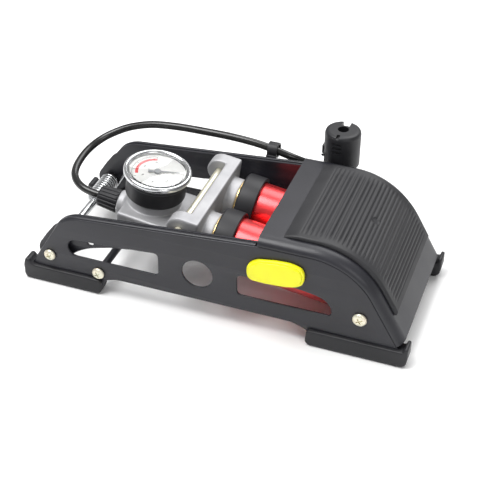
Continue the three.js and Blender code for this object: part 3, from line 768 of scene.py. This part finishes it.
def arm_outline():
    back = rounded([arc(*HINGE, 11.8, 300, 150)[-1], (-131, 41), (-124.5, 49.6), *corner(ARM_RISE),
                    (36, top_edge(36) + ARM_RISE)], 6, 8)
    under = rounded([(112, 52), (60, 52), (10, 51.8), (-20, 50), (-45, 44.9), (-61, 43.6), (-77.4, 41),
                     (-94, 36.6), (-102.7, 32.6), (-110, 27.4), (-117, 19.5)], 12, 6)
    return [*arc(*HINGE, 11.8, 300, 150, 36)[:-1], *back, (40.5, 80.1), *seam_line(4.1, 41, 48), *under]


def pin_slot():
    """The head pin's way in the arm, wider past its start; distances run along the lean."""
    lean, start_r, bulge_at, bulge, end_at, end_r = 207.5, 3.5, 4.4, 4.7, 9.4, 4.5

    def at(along, aside):
        return (HEAD_PIN[0] + along * cos(radians(lean)) - aside * sin(radians(lean)),
                HEAD_PIN[1] + along * sin(radians(lean)) + aside * cos(radians(lean)))

    return [*arc(*at(0, 0), start_r, lean + 90, lean + 270), at(bulge_at, -bulge),
            *arc(*at(end_at, 0), end_r, lean - 90, lean + 90), at(bulge_at, bulge)]


def make_pedal_arm(side, sign):
    y0, y1 = span(sign, ARM - SHEET, ARM)
    holes = [disc(-94.9, 41, 2.7, 32), disc(*HINGE, 5.6, 48), pin_slot()]
    arm = pressed(arm_outline(), y0, y1, holes, edge=0.4)
    if sign < 0:
        reach = TONGUE["x1"] + LATCH_TRAVEL + 2.5
        arm = carved(arm, [
            block(TONGUE["x0"] - 1, reach, y0 - 1, y1 + 1, TONGUE["z0"] - 0.8, TONGUE["z1"] + 0.8, 0.4),
            block(TONGUE["x0"] + LATCH_TRAVEL - 1.5, reach, y0 - 1, y1 + 1, 50, TONGUE["z1"], 0.4)])
    piece(f"{side}_arm", arm, "pedal", "black_paint", [f"{side}_pedal_arm"])
    low, high = span(sign, ARM - SHEET - 1.4, ARM + 0.5)
    bush = lathe([(3.5, low), (5.3, low), (5.3, high), (3.5, high)], "Y", (HINGE[0], 0, HINGE[1]), 0.3,
                 closed=True, sides=64)
    piece(f"{side}_bush", bush, "pedal", "black_plastic", [f"{side}_hinge_bush"])


COVER_TOP = 6.0
COVER_SHEET = 1.5


def make_cover():
    """The pressed cover: two rounded shoulders and a flat back, open below."""
    shoulder = [(SIDE - 8.5 + 8.5 * cos(radians(a)), 0.4 + 5.6 * sin(radians(a))) for a in range(0, 91, 6)]
    inner = SIDE - COVER_SHEET
    hollow = [*arc(SIDE - 5, 1.0, 3.5, 90, 0, 10), (inner, 0.4)]
    mirrored = [(-y, o) for y, o in reversed(shoulder)]
    mirrored_hollow = [(-y, o) for y, o in reversed(hollow)]
    section = [*shoulder, *mirrored, *mirrored_hollow, *hollow]
    piece("cover_shell", carry(section, seam_stations(37.5, 40)), "pedal", "black_paint", ["pedal_cover"])


PAD_HALF = 48.5
PAD_RIBS = 26
PAD_BORDER = 6.0
PAD_LEAD = 10.0              # smooth run-up at the frame end, ahead of the first rib
PAD_LEAD_DROP = 2.2
PAD_HIGH = COVER_TOP + 3.0
PAD_LOW = COVER_TOP + GAP
DIMPLE = (106.7, 3.4)        # x on the pad, radius


def make_pad():
    """A moulded rubber tread with cross ribs inside a smooth border and one round dimple."""
    coarse = seam_stations(54, 20, 60)
    line = [Vector((x + nx * PAD_HIGH, z + nz * PAD_HIGH)) for x, z, nx, nz in coarse]
    run = [0.0]
    for a, b in zip(line, line[1:]):
        run.append(run[-1] + (b - a).length)
    pitch = (run[-1] - PAD_BORDER - PAD_LEAD) / PAD_RIBS
    steps = PAD_RIBS * 9 + 24

    def station_at(distance):
        i = max(k for k in range(len(run) - 1) if run[k] <= distance + 1e-9)
        t = (distance - run[i]) / (run[i + 1] - run[i])
        mixed = [a + (b - a) * t for a, b in zip(coarse[i], coarse[i + 1])]
        size = (mixed[2] ** 2 + mixed[3] ** 2) ** 0.5
        return mixed[0], mixed[1], mixed[2] / size, mixed[3] / size

    def height(distance, y, x):
        inside = min(distance - PAD_LEAD, run[-1] - PAD_BORDER - distance, PAD_HALF - PAD_BORDER - abs(y))
        shoulder = min(run[-1] - distance, PAD_HALF - abs(y))
        top = PAD_HIGH - 1.2 * max(0.0, 1 - shoulder / 1.6) ** 2
        top -= PAD_LEAD_DROP * max(0.0, 1 - distance / PAD_LEAD) ** 1.6
        if inside > 0:
            wave = 0.5 - 0.5 * cos(tau * (distance - PAD_LEAD) / pitch)
            top -= 0.8 * (1 - wave ** 0.35) * min(1.0, inside / 0.5)
        away = ((x - DIMPLE[0]) ** 2 + y ** 2) ** 0.5
        if away < DIMPLE[1]:
            top = min(top, PAD_HIGH - 1.0 + 0.8 * (away / DIMPLE[1]) ** 4)
        return top

    across = [PAD_HALF - d for d in (0, 0.2, 0.5, 0.9, 1.3, 1.8, 2.6, 3.6, 3.95, 4.1, 4.5, 5.2)]
    middle = [40 - i * 4 for i in range(9)] + [4.4, 3.6, 2.9, 2.2, 1.5, 0.8]
    half = sorted(across + middle, reverse=True)
    columns = [-y for y in half] + [0.0] + half[::-1]
    bm = bmesh.new()
    tops, bottoms = [], []
    for k in range(steps + 1):
        distance = run[-1] * k / steps
        x, z, nx, nz = station_at(min(distance, run[-1] - 1e-6))
        tops.append([])
        bottoms.append([])
        for y in columns:
            h = height(distance, y, x + nx * PAD_HIGH)
            tops[-1].append(bm.verts.new((x + nx * h, y, z + nz * h)))
            bottoms[-1].append(bm.verts.new((x + nx * PAD_LOW, y, z + nz * PAD_LOW)))
    last = len(columns) - 1
    for k in range(steps):
        for i in range(last):
            bm.faces.new((tops[k][i], tops[k + 1][i], tops[k + 1][i + 1], tops[k][i + 1]))
            bm.faces.new((bottoms[k][i], bottoms[k][i + 1], bottoms[k + 1][i + 1], bottoms[k + 1][i]))
        for i in (0, last):
            bm.faces.new((tops[k][i], tops[k + 1][i], bottoms[k + 1][i], bottoms[k][i]))
    for k in (0, steps):
        for i in range(last):
            bm.faces.new((tops[k][i], tops[k][i + 1], bottoms[k][i + 1], bottoms[k][i]))
    piece("tread_pad", from_bmesh(bm), "pedal", "black_rubber", ["foot_pad"], sharp=50)


# ---------------------------------------------------------------- latch
KNOB = [(31, 55), (31.6, 50.5), (34.5, 48), (45, 47.6), (60, 48.6), (68, 50.6), (72.4, 54), (73.4, 59),
        (73, 64), (70.4, 67.4), (63, 69.4), (52, 68.8), (38, 66.4), (33, 62.6), (31.2, 59)]
KNOB_BASE = SIDE + GAP


def scaled(outline, share_x, share_z):
    cx = sum(x for x, _ in outline) / len(outline)
    cz = sum(z for _, z in outline) / len(outline)
    return [(cx + (x - cx) * share_x, cz + (z - cz) * share_z) for x, z in outline]


def make_latch():
    rim = pressed(KNOB, -KNOB_BASE - 3.2, -KNOB_BASE, edge=0.9, corner=5)
    panel = pressed(scaled(KNOB, 0.93, 0.86), -KNOB_BASE - 4.4, -KNOB_BASE - 2, edge=0.8, corner=5)
    stem = block(46, 54, -KNOB_BASE - 1, -SIDE + SHEET + GAP, 55, 61)
    piece("latch_button", joined(rim, panel, stem), "latch", "yellow_plastic", ["latch_knob"])
    plate = block(44, 56, -SIDE + SHEET + 2 * GAP, -SIDE + SHEET + 1.8, 48.6, 63.5, 0.4)
    tongue = block(TONGUE["x0"], TONGUE["x1"], -SIDE + SHEET + 1, -ARM + SHEET + 1, TONGUE["z0"],
                   TONGUE["z1"], 0.4)
    piece("latch_tongue", joined(plate, tongue), "latch", "bright_steel", ["latch_hook"])


# ---------------------------------------------------------------- head
def make_casting():
    """The solids are merged and softened as one casting, then bored."""
    solids = [block(4.5, 14, -46, 46, -22, 10, 1), block(-53, 6, -36, 14, -33, -12, 2),
              rod("X", (AIR_Y, -NUT_DROP), 10, -61.6, -46, 1), rod("Z", (GAUGE_X, AIR_Y), 20, -20, -5, 1),
              lathe([(0, -56), (12, -56), (18, -50), (18, -44), (0, -44)], "X", (0, AIR_Y, -NUT_DROP), 2)]
    bores = [rod("X", (AIR_Y, -NUT_DROP), 4, -70, -12, 0.1)]
    for _, sign in SIDES:
        low, high = span(sign, 35, 46)
        solids += [rod("Y", (0, 0), 10, low, high, 0.8), block(0, 10, low, high, -10, 10, 0.8),
                   rod("X", (sign * BARREL_Y, -BARREL_DROP), 17, 11, 22.6, 0.8)]
        bores.append(rod("Y", (0, 0), 3.3, *span(sign, 34, 47), 0.1))
    body = softened(joined(*solids), 0.7, 4)
    piece("manifold_casting", carved(body, bores), "head", "cast_aluminium", ["head_casting"], HEAD, sharp=50)
    pin = rod("Y", (0, 0), 3, -53.2, 53.2, 0.6)
    piece("pivot_pin", pin, "head", "yellow_zinc", ["head_pin"], HEAD)


def ring(r0, r1, x0, x1, y, corner=0.4):
    return lathe([(r0, x0), (r1, x0), (r1, x1), (r0, x1)], "X", (0, y, -BARREL_DROP), corner, closed=True,
                 sides=128)


def make_barrel(side, sign):
    y = sign * BARREL_Y
    at = (0, y, -BARREL_DROP)
    piece(f"{side}_brass_ring", ring(12, 18.6, 22.9, 24.1, y), "head", "brass", [f"{side}_seal_ring"], HEAD)
    cap = lathe([(4, 24.4), (CAP_R - 1.2, 24.4), (CAP_R, 25.6), (CAP_R, 38.6), (CAP_R - 0.4, 39),
                 (BARREL_R + GAP, 39), (BARREL_R + GAP, 29.2), (4, 29.2)],
                "X", at, 0.6, closed=True, sides=128)
    piece(f"{side}_end_cap", cap, "head", "black_plastic", [f"{side}_cylinder_cap"], HEAD)
    piece(f"{side}_cylinder", ring(BORE_R, BARREL_R, 29.5, 121, y), "head", "red_anodised",
          [f"{side}_barrel"], HEAD)
    end = lathe([(6, 121.3), (BARREL_R + 2, 121.3), (BARREL_R + 2, 125), (6, 125)], "X", at, 0.6,
                closed=True, sides=128)
    piece(f"{side}_rear_cap", end, "head", "black_plastic", [f"{side}_barrel_end"], HEAD)
    crown = lathe([(0, 31.5), (BORE_R - GAP, 31.5), (BORE_R - GAP, 35), (BORE_R - 2.2, 35),
                   (BORE_R - 2.2, 38.4), (BORE_R - GAP, 38.4), (BORE_R - GAP, 42), (0, 42)], "X", at, 0.4)
    piece(f"{side}_piston_crown", crown, "pistons", "black_plastic", [f"{side}_piston"], HEAD)
    seal = ring(BORE_R - 1.9, BORE_R - 0.2, 35.3, 38.1, y, 0.8)
    piece(f"{side}_seal", seal, "pistons", "black_rubber", [f"{side}_piston_seal"], HEAD)
    bar = rod("X", (y, -BARREL_DROP), 4.5, 42.3, ROD_REACH - 4)
    eye = rod("Y", (ROD_REACH, -BARREL_DROP), 7.5, y - 6, y + 6, 0.8)
    bore = rod("Y", (ROD_REACH, -BARREL_DROP), 4 + GAP, y - 7, y + 7, 0.1)
    piece(f"{side}_rod", carved(carved(bar, [eye], "UNION"), [bore]), "pistons", "bright_steel",
          [f"{side}_piston_rod"], HEAD)


# ---------------------------------------------------------------- gauge
GAUGE = HEAD @ Matrix.Translation((GAUGE_X, AIR_Y, 0))
SWEEP = 270.0            # degrees, clockwise seen from above, from the needle's rest
REST = Matrix.Rotation(radians(24), 4, "Z")
SCALE_R = 18.8
RED_FROM = 0.64          # share of the sweep where the red band starts
DIAL_TOP = 13.2
MARKS = 10


def flat(outline, z0, z1, edge=0.05):
    """A flat outline seen from above, given thickness upwards."""
    mesh = pressed(outline, -z1, -z0, edge=edge)
    mesh.transform(Matrix.Rotation(-pi / 2, 4, "X"))
    return mesh


def dial_band(r0, r1, start, end, lift):
    top = DIAL_TOP + lift
    profile = [(r0, DIAL_TOP - 0.1), (r1, DIAL_TOP - 0.1), (r1, top), (r0, top)]
    return lathe(profile, corner=0.01, closed=True, sides=96, start=-radians(end), end=-radians(start))


def make_numeral(value):
    curve = bpy.data.curves.new("numeral", "FONT")
    curve.body = str(value)
    curve.size = 3.0
    curve.extrude = 0.03
    curve.align_x = "CENTER"
    curve.align_y = "CENTER"
    holder = bpy.data.objects.new("numeral", curve)
    mesh = bpy.data.meshes.new_from_object(holder)
    bpy.data.objects.remove(holder)
    bpy.data.curves.remove(curve)
    angle = -radians(SWEEP * value / MARKS)
    at = Matrix.Translation((11.4 * cos(angle), 11.4 * sin(angle), DIAL_TOP + 0.03))
    mesh.transform(at @ Matrix.Rotation(radians(-225), 4, "Z"))
    return mesh


def make_gauge():
    body = lathe([(0, -4.7), (21.6, -4.7), (22.6, -3.5), (22.7, 9), (23.2, 9.6), (23.2, 12.4), (0, 12.4)],
                 corner=0.8, sides=128)
    piece("gauge_case", body, "head", "black_plastic", ["gauge_body"], GAUGE)
    stem = lathe([(0, -19), (2.9, -19), (2.9, -5), (0, -5)], corner=0.3, sides=48)
    piece("gauge_thread", stem, "head", "brass", ["gauge_stem"], GAUGE)
    bezel = lathe([(21.6, 12.7), (24.6, 12.7), (25.4, 13.6), (25.4, 15.8), (24.6, 17), (23.4, 17.3),
                   (22.2, 16.6), (21.6, 15.6)], corner=0.8, closed=True, sides=160)
    piece("gauge_rim", bezel, "head", "bright_steel", ["gauge_bezel"], GAUGE)
    dial = lathe([(0, 12.7), (21.2, 12.7), (21.2, DIAL_TOP), (0, DIAL_TOP)], corner=0.1, sides=128)
    piece("gauge_face", dial, "head", "white_card", ["gauge_dial"], GAUGE)
    marks = [dial_band(SCALE_R - 0.12, SCALE_R + 0.12, 0, SWEEP, 0.05)]
    for i in range(MARKS * 5 + 1):
        major = i % 5 == 0
        mark = block(SCALE_R - (2.4 if major else 1.3), SCALE_R, -0.16 if major else -0.07,
                     0.16 if major else 0.07, DIAL_TOP - 0.1, DIAL_TOP + 0.05, 0)
        mark.transform(Matrix.Rotation(-radians(SWEEP * i / (MARKS * 5)), 4, "Z"))
        marks.append(mark)
    marks += [make_numeral(value) for value in range(0, MARKS + 1, 2)]
    piece("gauge_marks", joined(*marks), "head", "dial_black", place=GAUGE @ REST)
    band = dial_band(SCALE_R - 4.6, SCALE_R - 2.5, SWEEP * RED_FROM, SWEEP, 0.04)
    piece("gauge_red_band", band, "head", "dial_red", place=GAUGE @ REST)
    glass = lathe([(0, 15.2), (21.2, 15.2), (21.2, 16.4), (0, 16.6)], corner=0.2, sides=128)
    piece("gauge_glass", glass, "head", "clear_lens", ["gauge_lens"], GAUGE)
    pointer = flat([(-7, -1.3), (-7, 1.3), (0, 0.7), (16.5, 0.2), (16.5, -0.2), (0, -0.7)], 14, 14.5)
    hub = lathe([(0, 13.5), (2.6, 13.5), (2.6, 14.9), (0, 14.9)], corner=0.4, sides=48)
    piece("gauge_pointer", joined(pointer, hub), "needle", "dial_grey", ["gauge_needle"], GAUGE @ REST)


def make_nut():
    """A tapered nut with coarse lengthwise grooves for the fingers."""
    at = (0, AIR_Y, -NUT_DROP)
    profile = [(HOSE_R + 1.9, -78.4), (7.4, -78.4), (8.2, -77.2), (9.2, -63.4), (8.8, -62),
               (HOSE_R + 1.9, -62)]
    nut = lathe(profile, "X", at, 0.6, closed=True, sides=96)
    count, middle, taper = 18, -70.3, atan2(1.0, 13.8)
    grooves = []
    for i in range(count):
        groove = rod("X", (0, 0), 0.95, -7.4, 9, 0.3, sides=16)
        around = Matrix.Rotation(tau * (i + 0.5) / count, 4, "X")
        groove.transform(Matrix.Translation(at) @ around @ Matrix.Translation((middle, 0, 8.9))
                         @ Matrix.Rotation(-taper, 4, "Y"))
        grooves.append(groove)
    piece("hose_coupling_nut", carved(nut, grooves), "head", "black_plastic", ["hose_nut"], HEAD)
    tail = lathe([(1.6, -77.6), (HOSE_R + 0.9, -77.6), (HOSE_R + 1.5, -75), (HOSE_R + 1.5, -62.2),
                  (1.6, -62.2)], "X", at, 0.4, closed=True, sides=64)
    piece("hose_barb", tail, "head", "black_plastic", ["hose_tail"], HEAD)


# ---------------------------------------------------------------- hose clip, chuck and its holder
def make_clip():
    at, x0, x1 = (0, 65.4, 75.5), 4, 12
    ring_mesh = lathe([(4.6, x0), (6, x0), (6, x1), (4.6, x1)], "X", at, 0.4, closed=True, sides=64)
    foot = block(x0, x1, SIDE + GAP, SIDE + 3, 60, 74, 0.5)
    piece("hose_guide", joined(ring_mesh, foot), "base", "black_plastic", ["hose_clip"])


CHUCK_R = 13.8
CHUCK_TOP = 101.0
CHUCK_VENTS = (87, 90.5, 94)
LEVER_AXIS = (8.6, 95)       # from the chuck's middle, and above the floor


def make_chuck():
    x, y = CHUCK
    grip = lathe([(HOSE_R + 0.5, 33), (5, 33), (6.4, 36), (8.2, 46), (8.8, 52), (8.8, 70), (3.5, 70),
                  (3.5, 40.6), (HOSE_R + 0.5, 40.4)], "Z", (x, y, 0), 0.6, closed=True)
    rings = [lathe([(r - 0.8, z), (r + 0.45, z), (r + 0.45, z + 1.2), (r - 0.8, z + 1.2)],
                   "Z", (x, y, 0), 0.4, closed=True) for z, r in ((37, 6.2), (40, 6.9), (43, 7.5))]
    grip_piece = piece("chuck_handle", joined(grip, *rings), "base", "black_plastic", ["chuck_grip"])
    head = lathe([(0, 70.3), (9.4, 70.3), (CHUCK_R - 0.4, 71.2), (CHUCK_R, 72.2), (CHUCK_R, CHUCK_TOP - 2.6),
                  (CHUCK_R - 0.8, CHUCK_TOP - 0.7), (CHUCK_R - 2.8, CHUCK_TOP), (0, CHUCK_TOP)],
                 "Z", (x, y, 0), 0.8, sides=128)
    cutters = [rod("Z", CHUCK, 4.2, 89, CHUCK_TOP + 1, 0.1),
               block(x - 3.2, x + 3.2, y + 5.6, y + 15, 69, CHUCK_TOP + 1, 0.3),
               block(x - 2.2, x + 0.4, y - 15, y - 9, CHUCK_TOP - 2, CHUCK_TOP + 1, 0.5)]
    cutters += [block(x - 4.5, x + 2.5, y - 15, y - 12.2, z, z + 1.8, 0.3) for z in CHUCK_VENTS]
    head_piece = piece("chuck_body", carved(head, cutters), "base", "black_plastic", ["chuck_head"])
    lug = block(x - CHUCK_R - 1.2, x - CHUCK_R + 3, y - 4, y + 2, 77, 86, 0.8)
    lug_piece = piece("chuck_side_lug", lug, "base", "black_plastic")
    pin = rod("Y", (x - CHUCK_R + 0.5, 79.5), 1.2, y - 7, y + 3, 0.3, sides=32)
    pin_piece = piece("chuck_side_pin", pin, "base", "bright_steel")
    lever = [(-1.6, 2), (2.2, 2.6), (5.4, 0), (6.2, -24), (5, -32), (3.6, -32), (4, -20), (2, -4), (-2, -2)]
    out, above = LEVER_AXIS
    lever = [(y + out + a, above + b) for a, b in lever]
    lever_mesh = pressed(lever, -x - 2.8, -x + 2.8, edge=0.7, corner=1.2)
    lever_mesh.transform(Matrix.Rotation(pi / 2, 4, "Z"))
    lever_piece = piece("chuck_thumb_lever", lever_mesh, "lever", "black_plastic", ["chuck_lever"])
    return [grip_piece, head_piece, lug_piece, pin_piece, lever_piece]


def make_holder():
    x, y = CHUCK
    opening = asin(6 / 10.2)     # half the angle of the gap that the grip snaps through
    cup = lathe([(9.1, 56), (11.4, 56), (11.4, 66), (9.1, 66)], "Z", (x, y, 0), 0.5, closed=True, sides=72,
                start=pi / 2 + opening, end=pi / 2 - opening + tau)
    back = block(42, 80, SIDE + GAP, SIDE + 2.3, 52, 70, 0.7)
    neck = block(x - 8, x + 8, SIDE + 1, y - 7.8, 56, 66, 0.7)
    piece("chuck_cradle", joined(cup, back, neck), "base", "black_plastic", ["chuck_holder"])


make_frame()
make_spring()
for side, sign in SIDES:
    make_pedal_arm(side, sign)
make_cover()
make_pad()
make_latch()
make_casting()
for side, sign in SIDES:
    make_barrel(side, sign)
make_gauge()
make_nut()
make_clip()
declare_hose(HOSE, make_chuck())
make_holder()


# ---------------------------------------------------------------- studio
WORLD_STRENGTH = 0.42
LAMPS = (            # name, place in metres, width in metres, watts
    ("key", (-0.5, -0.3, 1.5), 1.0, 24),
    ("fill", (1.0, -0.9, 0.9), 0.8, 4),
    ("back", (0.2, 0.9, 1.3), 1.2, 16),
)


def make_studio():
    floor = bpy.data.meshes.new("floor")
    reach = 6.0
    floor.from_pydata([(-reach, -reach, 0), (reach, -reach, 0), (reach, reach, 0), (-reach, reach, 0)], [],
                      [(0, 1, 2, 3)])
    stage = bpy.data.objects.new("floor", floor)
    bpy.context.collection.objects.link(stage)
    stage.location.z = -0.0003
    m = Nodes("studio_floor")
    m.link(m.ramp(m.noise(3, 2), [(0.3, (0.90, 0.90, 0.90)), (0.7, (0.93, 0.93, 0.93))]), "Base Color")
    m.set(Roughness=0.9)
    floor.materials.append(m.material)
    world = bpy.data.worlds.new("studio")
    bpy.context.scene.world = world
    world.use_nodes = True
    world.node_tree.nodes["Background"].inputs["Color"].default_value = (1, 1, 1, 1)
    world.node_tree.nodes["Background"].inputs["Strength"].default_value = WORLD_STRENGTH
    for name, place, size, power in LAMPS:
        light = bpy.data.lights.new(name, "AREA")
        light.shape = "DISK"
        light.size = size
        light.energy = power
        lamp = bpy.data.objects.new(name, light)
        lamp.location = place
        lamp.rotation_euler = (Vector((0, 0, 0.04)) - Vector(place)).to_track_quat("-Z", "Y").to_euler()
        bpy.context.collection.objects.link(lamp)
    bpy.context.scene.view_settings.view_transform = "Standard"


make_studio()

bpy.context.view_layer.update()
